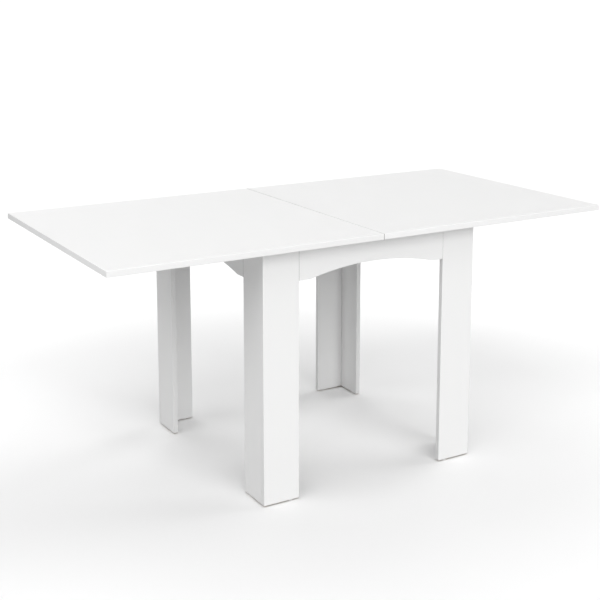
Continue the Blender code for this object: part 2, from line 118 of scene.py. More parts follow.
def remap(tree, value, lowIn, highIn, lowOut, highOut):
    links = {"Value": value, "From Min": lowIn, "From Max": highIn, "To Min": lowOut, "To Max": highOut}
    return addNode(tree, "ShaderNodeMapRange", links).outputs[0]


def noise(tree, coordinates, scale, detail=2.0, rough=0.5, stretch=None):
    if stretch:
        links = {"Vector": coordinates, "Scale": stretch}
        coordinates = addNode(tree, "ShaderNodeMapping", links).outputs[0]
    links = {"Vector": coordinates, "Scale": scale, "Detail": detail, "Roughness": rough}
    return addNode(tree, "ShaderNodeTexNoise", links).outputs["Fac"]


def buildHandlingGroup():
    # Slow drift in tone, fine rubbing in the gloss, and marks where edges get knocked
    tree, source, sink = newGroup(
        "handling",
        [
            ("Drift Scale", "NodeSocketFloat", 2.5),
            ("Drift", "NodeSocketFloat", 0.012),
            ("Rub Scale", "NodeSocketFloat", 60.0),
            ("Gloss Low", "NodeSocketFloat", 0.34),
            ("Gloss High", "NodeSocketFloat", 0.46),
            ("Edge Wear", "NodeSocketFloat", 0.5),
        ],
        [("Tone", "NodeSocketFloat"), ("Roughness", "NodeSocketFloat"), ("Worn", "NodeSocketFloat")],
    )
    place = addNode(tree, "ShaderNodeTexCoord").outputs["Object"]
    drift = noise(tree, place, source.outputs["Drift Scale"], 3.0)
    spread = mathNode(tree, "MULTIPLY", mathNode(tree, "SUBTRACT", drift, 0.5), source.outputs["Drift"])
    tree.links.new(mathNode(tree, "ADD", spread, 1.0), sink.inputs["Tone"])
    rubAlong = noise(tree, place, source.outputs["Rub Scale"], 5.0, 0.65, (1.0, 0.18, 1.0))
    rubAcross = noise(tree, place, source.outputs["Rub Scale"], 5.0, 0.65, (0.18, 1.0, 1.0))
    rubbed = mathNode(tree, "MULTIPLY", rubAlong, rubAcross)
    gloss = addNode(tree, "ShaderNodeMapRange", {
        "Value": rubbed, "From Min": 0.12, "From Max": 0.38,
        "To Min": source.outputs["Gloss Low"], "To Max": source.outputs["Gloss High"],
    }).outputs[0]
    edge = addNode(tree, "ShaderNodeAttribute", attribute_name="edge").outputs["Fac"]
    chips = remap(tree, noise(tree, place, 140.0, 4.0, 0.7), 0.52, 0.68, 0.0, 1.0)
    worn = mathNode(tree, "MULTIPLY", mathNode(tree, "MULTIPLY", edge, chips), source.outputs["Edge Wear"])
    tree.links.new(worn, sink.inputs["Worn"])
    tree.links.new(mathNode(tree, "MULTIPLY_ADD", worn, 0.25, gloss), sink.inputs["Roughness"])
    return tree


def buildPearlGroup():
    # The pressed pearl texture of melamine: soft pits under a millimetre across
    tree, source, sink = newGroup(
        "pearlTexture",
        [("Pit Scale", "NodeSocketFloat", 1400.0), ("Pit Depth", "NodeSocketFloat", 0.6)],
        [("Height", "NodeSocketFloat"), ("Pits", "NodeSocketFloat")],
    )
    place = addNode(tree, "ShaderNodeTexCoord").outputs["Object"]
    cells = addNode(
        tree, "ShaderNodeTexVoronoi", {"Vector": place, "Scale": source.outputs["Pit Scale"]},
        feature="SMOOTH_F1",
    ).outputs["Distance"]
    ripple = noise(tree, place, 420.0, 2.0)
    mixed = mathNode(tree, "MULTIPLY_ADD", cells, source.outputs["Pit Depth"], ripple)
    tree.links.new(mixed, sink.inputs["Height"])
    tree.links.new(remap(tree, cells, 0.2, 0.7, 0.0, 1.0), sink.inputs["Pits"])
    return tree


def buildFlakeGroup():
    # Pressed wood particles, as a sawn board edge shows them
    tree, source, sink = newGroup(
        "particleFlakes",
        [("Flake Scale", "NodeSocketFloat", 420.0)],
        [("Color", "NodeSocketColor"), ("Height", "NodeSocketFloat")],
    )
    place = addNode(tree, "ShaderNodeTexCoord").outputs["Object"]
    stretched = addNode(tree, "ShaderNodeMapping", {"Vector": place, "Scale": (0.5, 0.5, 1.0)}).outputs[0]
    cells = addNode(
        tree, "ShaderNodeTexVoronoi", {"Vector": stretched, "Scale": source.outputs["Flake Scale"]}
    )
    shade = addNode(tree, "ShaderNodeSeparateColor", {0: cells.outputs["Color"]}).outputs[0]
    color = mixColors(tree, shade, (0.36, 0.23, 0.12, 1), (0.66, 0.49, 0.30, 1))
    gaps = remap(tree, cells.outputs["Distance"], 0.35, 0.75, 0.0, 0.55)
    tree.links.new(mixColors(tree, gaps, color, (0.16, 0.10, 0.055, 1)), sink.inputs["Color"])
    tree.links.new(cells.outputs["Distance"], sink.inputs["Height"])
    return tree


def buildWoodGroup():
    # Rotary-cut birch: long pale figure along X with short dark pores
    tree, source, sink = newGroup(
        "birchFigure",
        [("Figure Scale", "NodeSocketFloat", 40.0), ("Contrast", "NodeSocketFloat", 0.6)],
        [("Color", "NodeSocketColor"), ("Height", "NodeSocketFloat")],
    )
    place = addNode(tree, "ShaderNodeTexCoord").outputs["Object"]
    figure = noise(tree, place, source.outputs["Figure Scale"], 5.0, 0.6, (0.12, 1.0, 1.0))
    fibre = noise(tree, place, 900.0, 3.0, 0.7, (0.04, 1.0, 1.0))
    pores = remap(tree, noise(tree, place, 600.0, 1.0, 0.5, (0.08, 1.0, 1.0)), 0.66, 0.74, 0.0, 0.5)
    banding = remap(tree, figure, 0.35, 0.65, 0.0, 1.0)
    strength = mathNode(tree, "MULTIPLY", banding, source.outputs["Contrast"])
    color = mixColors(tree, strength, (0.66, 0.50, 0.32, 1), (0.50, 0.34, 0.19, 1))
    color = mixColors(tree, remap(tree, fibre, 0.3, 0.7, 0.0, 0.25), color, (0.74, 0.60, 0.42, 1))
    tree.links.new(mixColors(tree, pores, color, (0.24, 0.14, 0.07, 1)), sink.inputs["Color"])
    tree.links.new(mathNode(tree, "SUBTRACT", fibre, pores), sink.inputs["Height"])
    return tree


def buildMetalGroup():
    # Bright zinc: a faint spangle, fine tooling lines and dulled patches
    tree, source, sink = newGroup(
        "zincSkin",
        [
            ("Spangle Scale", "NodeSocketFloat", 220.0),
            ("Tooling", "NodeSocketFloat", 0.5),
            ("Gloss Low", "NodeSocketFloat", 0.22),
            ("Gloss High", "NodeSocketFloat", 0.42),
        ],
        [("Shade", "NodeSocketFloat"), ("Roughness", "NodeSocketFloat"), ("Height", "NodeSocketFloat")],
    )
    place = addNode(tree, "ShaderNodeTexCoord").outputs["Object"]
    spangle = addNode(
        tree, "ShaderNodeTexVoronoi", {"Vector": place, "Scale": source.outputs["Spangle Scale"]}
    ).outputs["Color"]
    grey = addNode(tree, "ShaderNodeSeparateColor", {0: spangle}).outputs[0]
    dull = noise(tree, place, 90.0, 4.0, 0.6)
    lines = noise(tree, place, 1600.0, 2.0, 0.6, (1.0, 1.0, 0.05))
    tree.links.new(remap(tree, grey, 0.0, 1.0, 0.93, 1.0), sink.inputs["Shade"])
    gloss = addNode(tree, "ShaderNodeMapRange", {
        "Value": dull, "From Min": 0.35, "From Max": 0.68,
        "To Min": source.outputs["Gloss Low"], "To Max": source.outputs["Gloss High"],
    }).outputs[0]
    tree.links.new(gloss, sink.inputs["Roughness"])
    height = mathNode(tree, "MULTIPLY_ADD", lines, source.outputs["Tooling"], dull)
    tree.links.new(height, sink.inputs["Height"])
    return tree


handling = buildHandlingGroup()
pearlTexture = buildPearlGroup()
particleFlakes = buildFlakeGroup()
birchFigure = buildWoodGroup()
zincSkin = buildMetalGroup()
print("shader groups built")


# Finishes

def newMaterial(name):
    material = bpy.data.materials.new(name)
    material.use_nodes = True
    return material, material.node_tree, material.node_tree.nodes["Principled BSDF"]


def placeGroup(tree, group, **values):
    node = addNode(tree, "ShaderNodeGroup", node_tree=group)
    for label, value in values.items():
        node.inputs[label].default_value = value
    return node


def scaleColor(tree, color, factor):
    links = {0: color, "Scale": factor}
    return addNode(tree, "ShaderNodeVectorMath", links, operation="SCALE").outputs[0]


def addBump(tree, shader, height, depth, strength=1.0):
    bump = addNode(tree, "ShaderNodeBump", {"Height": height, "Distance": depth, "Strength": strength})
    tree.links.new(bump.outputs["Normal"], shader.inputs["Normal"])


laminateLook = {
    "color": (0.88, 0.88, 0.877, 1),
    "pitShade": (0.855, 0.855, 0.852, 1),
    "wornShade": (0.70, 0.69, 0.67, 1),
    "pitMix": 0.5,  # how far the pits take their shade
    "pitDepth": 0.00003,
    "pitStrength": 0.35,
    "shine": 0.45,
    "faceGloss": (0.36, 0.47),
    "bandGloss": (0.28, 0.38),
    "facePits": 0.6,
    "bandPits": 0.15,
    # grey painted as shade in the seam between the leaves and in the aprons' joints with the legs
    "paintedShade": (0.46, 0.455, 0.445, 1),
    "paintedShadeReach": 0.003,  # how far the painted shade goes into the seam
    "paintedShadeScale": 30.0,
    "paintedShadeThinnest": 0.75,
}


def paintedShadeMask(tree):
    # Where the seam's painted shade goes, strongest at the seam's mouth: along the top face and at the
    # front and rear ends
    coordinates = addNode(tree, "ShaderNodeTexCoord").outputs["Object"]
    place = addNode(tree, "ShaderNodeSeparateXYZ", {0: coordinates})
    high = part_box("main_leaf")[1]
    reach = laminateLook["paintedShadeReach"]
    upper = remap(tree, place.outputs["Z"], high.z - reach, high.z - reach / 3, 0.0, 1.0)
    outer = mathNode(tree, "ABSOLUTE", place.outputs["Y"])
    ends = remap(tree, outer, high.y - reach, high.y - reach / 3, 0.0, 1.0)
    return mathNode(tree, "MAXIMUM", upper, ends)


def makeLaminate(name, gloss, pits, edgeWear, paintedShadeAt=""):
    # Painted shade lies all over a closed joint, and only at the mouth of the seam
    material, tree, shader = newMaterial(name)
    wear = placeGroup(tree, handling, **{
        "Gloss Low": gloss[0], "Gloss High": gloss[1], "Edge Wear": edgeWear,
    })
    pearl = placeGroup(tree, pearlTexture, **{"Pit Depth": pits})
    speck = mathNode(tree, "MULTIPLY", pearl.outputs["Pits"], laminateLook["pitMix"])
    color = mixColors(tree, speck, laminateLook["color"], laminateLook["pitShade"])
    toned = scaleColor(tree, color, wear.outputs["Tone"])
    worn = mixColors(tree, wear.outputs["Worn"], toned, laminateLook["wornShade"])
    # Painted shade, mixed in patches over the wear and tone
    if paintedShadeAt:
        place = addNode(tree, "ShaderNodeTexCoord").outputs["Object"]
        patches = noise(tree, place, laminateLook["paintedShadeScale"], 3.0)
        patchy = remap(tree, patches, 0.3, 0.7, laminateLook["paintedShadeThinnest"], 1.0)
        if paintedShadeAt == "mouth":
            patchy = mathNode(tree, "MULTIPLY", patchy, paintedShadeMask(tree))
        worn = mixColors(tree, patchy, worn, laminateLook["paintedShade"])
    tree.links.new(worn, shader.inputs["Base Color"])
    tree.links.new(wear.outputs["Roughness"], shader.inputs["Roughness"])
    shader.inputs["Specular IOR Level"].default_value = laminateLook["shine"]
    addBump(tree, shader, pearl.outputs["Height"], laminateLook["pitDepth"], laminateLook["pitStrength"])
    return material


birchLook = {
    "gloss": (0.5, 0.68),
    "edgeWear": 0.3,
    "grainDepth": 0.00012,
    "plies": 9,
    "thickness": 0.016,  # of the whole board
    "plyShade": (0.30, 0.18, 0.09, 1),
    "plyRoughness": 0.8,
    "plyDepth": 0.00008,
}
coreLook = {"roughness": 0.85, "flakeDepth": 0.0003}
metalLook = {
    "zincPlate": {"color": (0.66, 0.67, 0.66), "spangle": 260.0, "gloss": (0.24, 0.40), "tooling": 0.4},
    "castZinc": {"color": (0.50, 0.50, 0.49), "spangle": 700.0, "gloss": (0.40, 0.58), "tooling": 0.1},
}
plasticLook = {
    "whiteNylon": {"color": (0.80, 0.80, 0.78), "gloss": (0.34, 0.46)},
    "capPlastic": {"color": (0.84, 0.84, 0.835), "gloss": (0.26, 0.36)},
}


def makeCore():
    material, tree, shader = newMaterial("particleCore")
    flakes = placeGroup(tree, particleFlakes)
    tree.links.new(flakes.outputs["Color"], shader.inputs["Base Color"])
    shader.inputs["Roughness"].default_value = coreLook["roughness"]
    addBump(tree, shader, flakes.outputs["Height"], coreLook["flakeDepth"])
    return material


def makeVeneer():
    material, tree, shader = newMaterial("birchVeneer")
    wood = placeGroup(tree, birchFigure)
    tree.links.new(wood.outputs["Color"], shader.inputs["Base Color"])
    glossLow, glossHigh = birchLook["gloss"]
    wear = placeGroup(tree, handling, **{
        "Gloss Low": glossLow, "Gloss High": glossHigh, "Edge Wear": birchLook["edgeWear"],
    })
    tree.links.new(wear.outputs["Roughness"], shader.inputs["Roughness"])
    addBump(tree, shader, wood.outputs["Height"], birchLook["grainDepth"])
    return material


def makePlyEdge():
    # Plies alternate between long grain and dark end grain
    material, tree, shader = newMaterial("birchPlyEdge")
    wood = placeGroup(tree, birchFigure, **{"Figure Scale": 120.0, "Contrast": 0.4})
    place = addNode(tree, "ShaderNodeTexCoord").outputs["Object"]
    height = addNode(tree, "ShaderNodeSeparateXYZ", {0: place}).outputs["Z"]
    # Two plies, one light and one dark, make one turn of the wave
    turns = math.tau * birchLook["plies"] / 2 / birchLook["thickness"]
    layers = mathNode(tree, "MULTIPLY", height, turns)
    wave = mathNode(tree, "SINE", layers)
    ply = remap(tree, wave, -0.25, 0.25, 0.0, 0.6)
    color = mixColors(tree, ply, wood.outputs["Color"], birchLook["plyShade"])
    tree.links.new(color, shader.inputs["Base Color"])
    shader.inputs["Roughness"].default_value = birchLook["plyRoughness"]
    addBump(tree, shader, wave, birchLook["plyDepth"])
    return material


def makeMetal(name, color, spangle, gloss, tooling):
    material, tree, shader = newMaterial(name)
    skin = placeGroup(tree, zincSkin, **{
        "Spangle Scale": spangle, "Gloss Low": gloss[0], "Gloss High": gloss[1], "Tooling": tooling,
    })
    tree.links.new(scaleColor(tree, color, skin.outputs["Shade"]), shader.inputs["Base Color"])
    tree.links.new(skin.outputs["Roughness"], shader.inputs["Roughness"])
    shader.inputs["Metallic"].default_value = 1.0
    addBump(tree, shader, skin.outputs["Height"], 0.00004, 0.4)
    return material


def makePlastic(name, color, gloss):
    material, tree, shader = newMaterial(name)
    wear = placeGroup(tree, handling, **{
        "Drift Scale": 30.0, "Drift": 0.04, "Rub Scale": 240.0,
        "Gloss Low": gloss[0], "Gloss High": gloss[1], "Edge Wear": 0.0,
    })
    tree.links.new(scaleColor(tree, color, wear.outputs["Tone"]), shader.inputs["Base Color"])
    tree.links.new(wear.outputs["Roughness"], shader.inputs["Roughness"])
    shader.inputs["Subsurface Weight"].default_value = 0.05
    shader.inputs["Subsurface Radius"].default_value = (0.002, 0.002, 0.002)
    place = addNode(tree, "ShaderNodeTexCoord").outputs["Object"]
    addBump(tree, shader, noise(tree, place, 900.0, 2.0), 0.00003, 0.5)
    return material


facePits, bandPits = laminateLook["facePits"], laminateLook["bandPits"]
laminateFace = makeLaminate("laminateFace", laminateLook["faceGloss"], facePits, 0.35)
edgeBand = makeLaminate("edgeBand", laminateLook["bandGloss"], bandPits, 0.6)
seamBand = makeLaminate("seamBand", laminateLook["bandGloss"], bandPits, 0.3, paintedShadeAt="mouth")
jointBand = makeLaminate("jointBand", laminateLook["bandGloss"], bandPits, 0.3, paintedShadeAt="all")
particleCore = makeCore()
birchVeneer = makeVeneer()
birchPlyEdge = makePlyEdge()
zincPlate = makeMetal("zincPlate", **metalLook["zincPlate"])
castZinc = makeMetal("castZinc", **metalLook["castZinc"])
whiteNylon = makePlastic("whiteNylon", **plasticLook["whiteNylon"])
capPlastic = makePlastic("capPlastic", **plasticLook["capPlastic"])
print("finishes made")


# Boards

boardLook = {
    "rounding": 0.0006,  # radius of the trimmed edge band
    "roundingSteps": 3,
    "faceMargin": 0.003,  # width of face beside an edge that can show wear
    "bandMargin": 0.002,
    "cornerAngle": 40,  # degrees, above which an edge gets rounded
    "sharpAngle": 20,  # degrees, above which a board's edge stays crisp
}
fitGap = 0.0003  # left round a fitting in its bore
cutOver = 0.01  # how far a cutter runs past the board
roundAngle = 30  # degrees, above which a turned part's edge stays crisp


def middleOf(node):
    low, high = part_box(node)
    return (low + high) / 2


def placeInBody(piece, body, slotName, *nodes):
    if nodes:
        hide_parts(*nodes)
    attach(piece, body)


def newPiece(name, mesh, materials):
    for material in materials:
        mesh.materials.append(material)
    piece = bpy.data.objects.new(name, mesh)
    scene.collection.objects.link(piece)
    return piece


def isFlat(face):
    return abs(face.normal.z) > 0.99


def boardMesh(name, outline, thickness, basis, rawDown=False):
    # An outline in the basis's x and y, given its thickness along z, with rounded edges.
    # Material 0 is the face, 1 the edge, 2 the bare core of an underside left raw.
    shape = extruded([(x, y, 0.0) for x, y in outline], (0.0, 0.0, thickness))
    cornerAngle = math.radians(boardLook["cornerAngle"])
    sharp = [edge for edge in shape.edges if edge.calc_face_angle() > cornerAngle]
    bmesh.ops.bevel(
        shape, geom=sharp, offset=boardLook["rounding"], segments=boardLook["roundingSteps"],
        profile=0.5, affect="EDGES", clamp_overlap=True,
    )
    onEdge = set(shape.verts)
    flats = [face for face in shape.faces if isFlat(face)]
    bmesh.ops.inset_individual(shape, faces=flats, thickness=boardLook["faceMargin"], use_even_offset=True)
    sides = [face for face in shape.faces if abs(face.normal.z) < 0.2]
    bmesh.ops.inset_region(
        shape, faces=sides, thickness=boardLook["bandMargin"], use_even_offset=True, use_boundary=True
    )
    layer = shape.verts.layers.float.new("edge")
    for vert in shape.verts:
        vert[layer] = 1.0 if vert in onEdge else 0.0
    for face in shape.faces:
        face.material_index = 0 if isFlat(face) else 1
    shape.transform(basis)
    shape.normal_update()
    for face in shape.faces:
        if rawDown and face.normal.z < -0.7:
            face.material_index = 2
    return plainMesh(name, shape, boardLook["sharpAngle"])


def plainMesh(name, shape, sharpAngle):
    mesh = bpy.data.meshes.new(name)
    shape.to_mesh(mesh)
    shape.free()
    mesh.shade_smooth()
    mesh.set_sharp_from_angle(angle=math.radians(sharpAngle))
    return mesh


def basisAt(origin, xAxis, yAxis):
    zAxis = Vector(xAxis).cross(Vector(yAxis))
    turn = Matrix((xAxis, yAxis, zAxis)).transposed().to_4x4()
    return Matrix.Translation(origin) @ turn


def boxBoard(node, rawDown=False):
    # A flat board filling its node's box, whichever way it lies
    low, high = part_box(node)
    size = high - low
    thin = min(range(3), key=lambda axis: size[axis])
    across, along = (thin + 1) % 3, (thin + 2) % 3
    width, length = size[across], size[along]
    outline = [(0.0, 0.0), (width, 0.0), (width, length), (0.0, length)]
    units = Matrix.Identity(3)
    return boardMesh(node, outline, size[thin], basisAt(low, units[across], units[along]), rawDown)


def arcPoints(centerX, centerY, radius, start, end, steps):
    angles = [start + (end - start) * step / steps for step in range(steps + 1)]
    return [(centerX + radius * math.cos(a), centerY + radius * math.sin(a)) for a in angles]


def cutFrom(piece, cutters, operation="DIFFERENCE"):
    # Cuts each mesh from the piece, or keeps what they share, and leaves a plain mesh behind
    helpers = []
    for mesh in cutters:
        helper = bpy.data.objects.new("cutter", mesh)
        scene.collection.objects.link(helper)
        boolean = piece.modifiers.new("cut", "BOOLEAN")
        boolean.operation = operation
        boolean.solver = "EXACT"
        boolean.object = helper
        helpers.append(helper)
    evaluated = piece.evaluated_get(bpy.context.evaluated_depsgraph_get())
    cut = bpy.data.meshes.new_from_object(evaluated)
    cut.name = piece.name
    # The cut's own edges come out unmarked
    cut.set_sharp_from_angle(angle=math.radians(boardLook["sharpAngle"]))
    piece.modifiers.clear()
    piece.data = cut
    for helper in helpers:
        bpy.data.objects.remove(helper)


def rodMesh(name, start, end, radius):
    shape = bmesh.new()
    start, end = Vector(start), Vector(end)
    bmesh.ops.create_cone(
        shape, cap_ends=True, segments=32, radius1=radius, radius2=radius, depth=(end - start).length
    )
    turn = (end - start).to_track_quat("Z", "Y").to_matrix().to_4x4()
    shape.transform(Matrix.Translation((start + end) / 2) @ turn)
    return plainMesh(name, shape, roundAngle)


def uprightRod(name, x, y, bottom, top, radius):
    return rodMesh(name, (x, y, bottom), (x, y, top), radius)


def extruded(outline, direction):
    # Flat points given a thickness along the direction, faces outward
    shape = bmesh.new()
    face = shape.faces.new([shape.verts.new(point) for point in outline])
    raised = bmesh.ops.extrude_face_region(shape, geom=[face])["geom"]
    far = [item for item in raised if isinstance(item, bmesh.types.BMVert)]
    bmesh.ops.translate(shape, verts=far, vec=direction)
    bmesh.ops.recalc_face_normals(shape, faces=shape.faces)
    return shape


boardFinishes = (laminateFace, edgeBand, particleCore)
plywoodFinishes = (birchVeneer, birchPlyEdge)
screwLook = {
    "head": 0.0036,  # radius
    "dome": 0.0022,
    "flat": 0.25,  # a flat head's height as a share of the dome's
    "shank": 0.002,
    "seat": 0.97,  # the head's underside, as a share of its radius
    "rim": 0.35,  # where the crown starts, as a share of the head's height
    "crownAngles": (0.0, 0.35, 0.7, 1.05, 1.3),
    "slotWidth": 0.0009,
    "slotReach": 0.0022,
    "recessTaper": 0.6,
    "sides": 28,
}


def buildPlainBoards():
    for node in sorted(frame["nodes"]):
        if node.startswith(("leg_", "pivot_rail")) or node.endswith("_rail"):
            mesh = boxBoard(node, rawDown=node.startswith("leg_"))
            piece = newPiece(node + "_board", mesh, boardFinishes)
            placeInBody(piece, "base", "white_laminate", node)


apronArch = {"rise": 0.0255, "flat": 0.036, "fillet": 0.035, "steps": 64, "filletSteps": 8}


def archOutline(length, height):
    # The lower edge is straight at its ends and rises in one long arc between them
    half = length / 2
    chord = half - apronArch["flat"]
    rise, fillet = apronArch["rise"], apronArch["fillet"]
    radius = (chord**2 + rise**2) / (2 * rise)
    middle = rise - radius
    filletX = math.sqrt((radius + fillet) ** 2 - (fillet - middle) ** 2)
    slope = math.atan2(middle - fillet, filletX)
    down, steps = -math.pi / 2, apronArch["filletSteps"]
    left = arcPoints(-filletX, fillet, fillet, down, slope, steps)
    arch = arcPoints(0.0, middle, radius, slope + math.pi, -slope, apronArch["steps"])
    right = arcPoints(filletX, fillet, fillet, -math.pi - slope, down, steps)
    return [(-half, 0.0)] + left + arch[1:-1] + right + [(half, 0.0), (half, height), (-half, height)]


roundedReach = boardLook["rounding"] * 1.01  # takes in an end face and its rounded edges


def shadeNear(mesh, atEnd):
    # Gives the faces that lie at a joint or seam the finish that follows a board's own three, the one with
    # painted shade
    for polygon in mesh.polygons:
        if atEnd(polygon.center):
            polygon.material_index = len(boardFinishes)


def buildAprons():
    up = Vector((0, 0, 1))
    for name, xAxis in (
        ("front", (1, 0, 0)), ("right", (0, 1, 0)), ("rear", (-1, 0, 0)), ("left", (0, -1, 0)),
    ):
        node = "apron_" + name
        low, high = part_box(node)
        size = high - low
        length, thickness = max(size.x, size.y), min(size.x, size.y)
        along = Vector(xAxis)
        middle = (low + high) / 2
        foot = Vector((middle.x, middle.y, low.z)) - along.cross(up) * thickness / 2
        mesh = boardMesh(node, archOutline(length, size.z), thickness, basisAt(foot, along, up))
        reach = length / 2 - roundedReach
        # The end faces hidden in the joints with the legs take the finish with painted shade all over
        shadeNear(mesh, lambda center: abs((center - middle).dot(along)) > reach)
        piece = newPiece(node + "_board", mesh, (*boardFinishes, jointBand))
        placeInBody(piece, "base", "white_laminate", node)


cornerPlateLook = {"bore": 0.0028}


def buildCornerPlates():
    for endName, end in (("front", -1), ("rear", 1)):
        for sideName, side in (("left", -1), ("right", 1)):
            node = f"corner_plate_{endName}_{sideName}"
            low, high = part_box(node)
            corner = Vector((low.x if side < 0 else high.x, low.y if end < 0 else high.y, low.z))
            leg = high.x - low.x
            outline = [(0.0, 0.0), (-side * leg, 0.0), (0.0, -end * leg)]
            if side * end < 0:
                outline.reverse()
            mesh = boardMesh(node, outline, high.z - low.z, Matrix.Translation(corner))
            piece = newPiece(node + "_board", mesh, plywoodFinishes)
            button = f"glide_button_{endName}_{sideName}"
            middle, bottom = middleOf(button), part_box(button)[0].z
            bore = uprightRod("bore", middle.x, middle.y, bottom, high.z + cutOver, cornerPlateLook["bore"])
            cutFrom(piece, [bore])
            placeInBody(piece, "base", "birch_plywood", node)


jointPlaces = {joint["name"]: Vector(joint["pos_m"]) for joint in frame["joints"]}
swivelCenter = jointPlaces["top_swivel"]
plateScrews = [f"plate_screw_{index}" for index in (1, 2, 3, 4)]
pivotBoardLook = {"bore": 0.0053, "slotSlack": 0.0005, "slotSteps": 36, "endSteps": 12}


def slotOutline():
    # A quarter ring round the swivel, as wide as the stop pin, closed by a half circle at each end
    x, y = swivelCenter.x, swivelCenter.y
    low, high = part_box("stop_pin")
    pin = (low + high) / 2
    radius = math.hypot(pin.x - x, pin.y - y)
    halfWidth = (high.x - low.x) / 2 + pivotBoardLook["slotSlack"]
    start = math.atan2(pin.y - y, pin.x - x)
    end = start + math.pi / 2
    endX, endY = x + radius * math.cos(end), y + radius * math.sin(end)
    steps, endSteps = pivotBoardLook["slotSteps"], pivotBoardLook["endSteps"]
    outer = arcPoints(x, y, radius + halfWidth, start, end, steps)
    farEnd = arcPoints(endX, endY, halfWidth, end, end + math.pi, endSteps)
    inner = arcPoints(x, y, radius - halfWidth, end, start, steps)
    nearEnd = arcPoints(pin.x, pin.y, halfWidth, start + math.pi, start + math.tau, endSteps)
    return outer + farEnd[1:-1] + inner + nearEnd[1:-1]


def buildPivotBoard():
    node = "pivot_board"
    low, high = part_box(node)
    piece = newPiece(node + "_panel", boxBoard(node), plywoodFinishes)
    bottom, top = low.z - cutOver, high.z + cutOver
    slot = extruded([(x, y, bottom) for x, y in slotOutline()], (0, 0, high.z - low.z + 2 * cutOver))
    bore = uprightRod("bore", swivelCenter.x, swivelCenter.y, bottom, top, pivotBoardLook["bore"])
    cutFrom(piece, [plainMesh("slot", slot, roundAngle), bore])
    placeInBody(piece, "base", "birch_plywood", node)


leafLook = {"cutOver": 0.005, "barrelSlack": 0.0006}


def hingeBores(side, edgeX):
    # Level bores let into the seam edge for the hinge barrels
    bores = []
    for index in (1, 2, 3):
        low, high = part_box(f"hinge_{index}_barrel_{'main' if side > 0 else 'flip'}")
        middle = (low + high) / 2
        depth = high.x - low.x + leafLook["barrelSlack"]
        start = (edgeX - side * leafLook["cutOver"], middle.y, middle.z)
        end = (edgeX + side * depth, middle.y, middle.z)
        bores.append(rodMesh("hingeBore", start, end, (high.z - low.z) / 2 + fitGap))
    return bores


def swivelBores(bottom):
    # Blind bores from below for the bolt, the stop pin and the plate's screws
    bores = []
    for fitting in ("swivel_bolt", "stop_pin", *plateScrews):
        low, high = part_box(fitting)
        middle = (low + high) / 2
        radius = screwLook["shank"] if fitting in plateScrews else (high.x - low.x) / 2
        start, end = bottom - leafLook["cutOver"], high.z + fitGap
        bores.append(uprightRod("bore", middle.x, middle.y, start, end, radius + fitGap))
    return bores


def buildLeaves():
    for node, side in (("main_leaf", 1), ("flip_leaf", -1)):
        low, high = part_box(node)
        edgeX = low.x if side > 0 else high.x
        mesh = boxBoard(node)
        # The seam's faces take the finish with painted shade at the seam's mouth
        shadeNear(mesh, lambda center: abs(center.x - edgeX) < roundedReach)
        piece = newPiece(node + "_panel", mesh, (*boardFinishes, seamBand))
        cutters = hingeBores(side, edgeX)
        if side > 0:
            cutters += swivelBores(low.z)
        cutFrom(piece, cutters)
        placeInBody(piece, node, "white_laminate", node)


buildPlainBoards()
buildAprons()
buildCornerPlates()
buildPivotBoard()
buildLeaves()
print("boards built")


# Fittings

weldDistance = 0.000005


def latheShape(profile, sides):
    # Turned about Z from (radius, height) points that start and end on the axis
    shape = bmesh.new()
    points = [shape.verts.new((radius, 0.0, height)) for radius, height in profile]
    edges = [shape.edges.new(pair) for pair in zip(points, points[1:])]
    bmesh.ops.spin(
        shape, geom=points + edges, axis=(0, 0, 1), cent=(0, 0, 0), angle=math.tau, steps=sides,
        use_duplicate=False,
    )
    bmesh.ops.remove_doubles(shape, verts=shape.verts, dist=weldDistance)
    bmesh.ops.recalc_face_normals(shape, faces=shape.faces)
    return shape


def buildScatterTree():
    # Sets one fitting on each point, turned by its "turn" and spun about its own axis
    tree = bpy.data.node_groups.new("setFittings", "GeometryNodeTree")
    sockets = {}
    for label, kind in (
        ("Places", "NodeSocketGeometry"), ("Fitting", "NodeSocketObject"), ("Size", "NodeSocketFloat"),
        ("Spin", "NodeSocketFloat"), ("Spin Seed", "NodeSocketInt"), ("Finish", "NodeSocketMaterial"),
    ):
        sockets[label] = tree.interface.new_socket(name=label, in_out="INPUT", socket_type=kind)
    tree.interface.new_socket(name="Fittings", in_out="OUTPUT", socket_type="NodeSocketGeometry")
    source, sink = tree.nodes.new("NodeGroupInput"), tree.nodes.new("NodeGroupOutput")
    fitting = addNode(tree, "GeometryNodeObjectInfo", {"Object": source.outputs["Fitting"]})
    turn = addNode(tree, "GeometryNodeInputNamedAttribute", {"Name": "turn"}, data_type="FLOAT_VECTOR")
    upright = addNode(tree, "FunctionNodeEulerToRotation", {0: turn.outputs[0]})
    chance = addNode(tree, "FunctionNodeRandomValue", data_type="FLOAT")
    tree.links.new(source.outputs["Spin"], chance.inputs[3])
    tree.links.new(source.outputs["Spin Seed"], chance.inputs["Seed"])
    spin = addNode(tree, "FunctionNodeAxisAngleToRotation", {"Axis": (0, 0, 1), "Angle": chance.outputs[1]})
    turned = addNode(tree, "FunctionNodeRotateRotation", {0: upright.outputs[0], 1: spin.outputs[0]})
    turned.rotation_space = "LOCAL"
    placed = addNode(tree, "GeometryNodeInstanceOnPoints", {
        "Points": source.outputs["Places"], "Instance": fitting.outputs["Geometry"],
        "Rotation": turned.outputs[0], "Scale": source.outputs["Size"],
    })
    real = addNode(tree, "GeometryNodeRealizeInstances", {0: placed.outputs[0]})
    finished = addNode(tree, "GeometryNodeSetMaterial", {
        "Geometry": real.outputs[0], "Material": source.outputs["Finish"],
    })
    tree.links.new(finished.outputs[0], sink.inputs[0])
    return tree, {label: socket.identifier for label, socket in sockets.items()}


scatterTree, scatterInputs = buildScatterTree()


